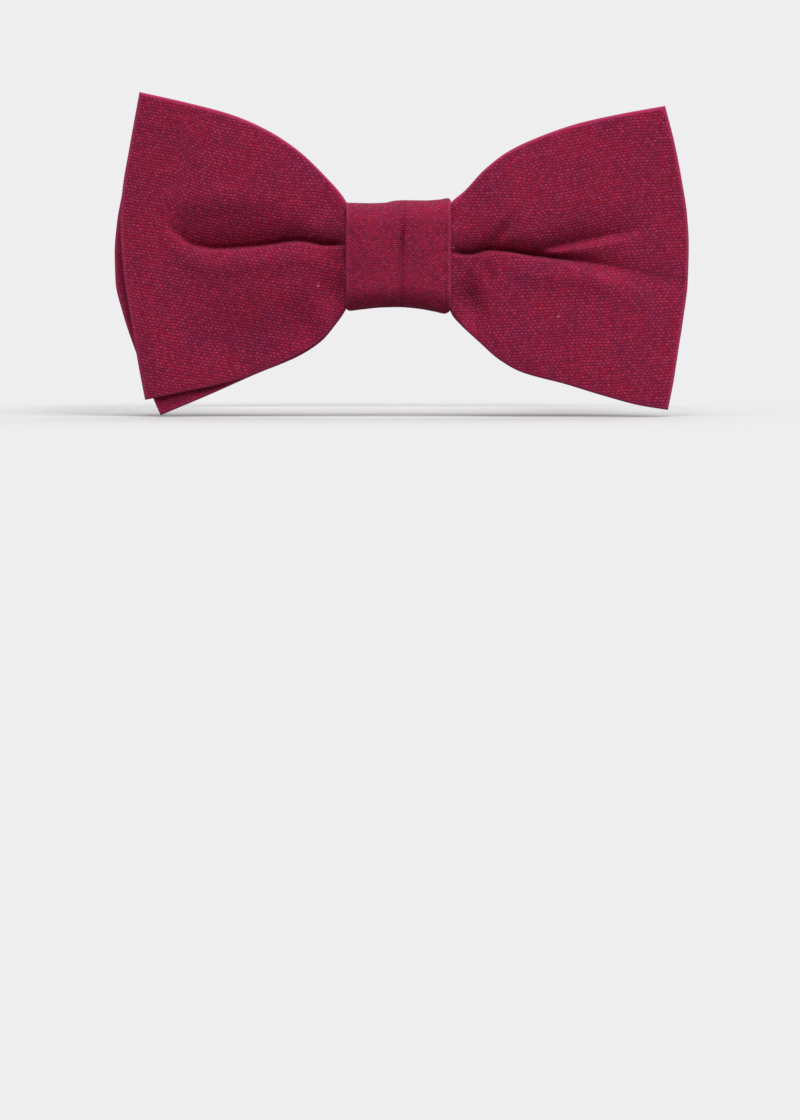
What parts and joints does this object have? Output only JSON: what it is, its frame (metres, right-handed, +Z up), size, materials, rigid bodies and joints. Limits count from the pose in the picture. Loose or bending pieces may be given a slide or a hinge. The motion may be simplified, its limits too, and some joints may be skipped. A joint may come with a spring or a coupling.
{
  "type": "bow tie",
  "caption": "Pre-tied linen bow tie: pleated bows in a wrapped knot, on an adjustable neck band with a slider that closes at the nape with a hook and an eye.",
  "frame": {"origin": "on the flat back of the knot, in line with the middle of the knot, where it lies against the collar", "axes": "+Z up as worn, +Y from the front of the knot to its back, towards the wearer, +X to the right seen from the front"},
  "size_m": [0.1271, 0.1382, 0.0714],
  "materials": {
    "linen": "matte plain-weave linen, burgundy, with slubs",
    "interlining": "matte off-white felted cloth",
    "thread": "matte spun thread, burgundy",
    "nickel": "nickel plate, satin",
    "label": "matte woven tape, blank"
  },
  "bodies": {
    "bow_and_band": {"front_bow_face_ply": "linen", "front_bow_interlining": "interlining", "front_bow_back_ply": "linen", "rear_bow_face_ply": "linen", "rear_bow_interlining": "interlining", "rear_bow_back_ply": "linen", "knot_wrap": "linen", "knot_interlining": "interlining", "pleat_binding_thread": "thread", "knot_closing_stitch": "thread", "band_to_knot_tack": "thread", "neck_band": "linen", "neck_band_return_run": "linen", "eye_bar_tack": "thread", "care_label": "label"},
    "slider": {"slider": "nickel", "neck_band_sewn_end": "linen", "slider_bar_tack": "thread"},
    "hook": {"hook": "nickel"},
    "eye": {"eye": "nickel"}
  },
  "joints": [
    {"name": "slider_slide", "type": "slide", "parent": "bow_and_band", "child": "slider", "axis": [0, 1, 0], "range_m": [-0.0155, 0.0155], "deforming": ["neck_band_return_run"]},
    {"name": "hook_swivel", "type": "hinge", "parent": "bow_and_band", "child": "hook", "pos_m": [-0.012, 0.11975, 0], "axis": [0, 0, 1], "range_deg": [0, 75]},
    {"name": "eye_swivel", "type": "hinge", "parent": "bow_and_band", "child": "eye", "pos_m": [0.01, 0.11975, 0], "axis": [0, 0, 1], "range_deg": [0, 75]}
  ]
}
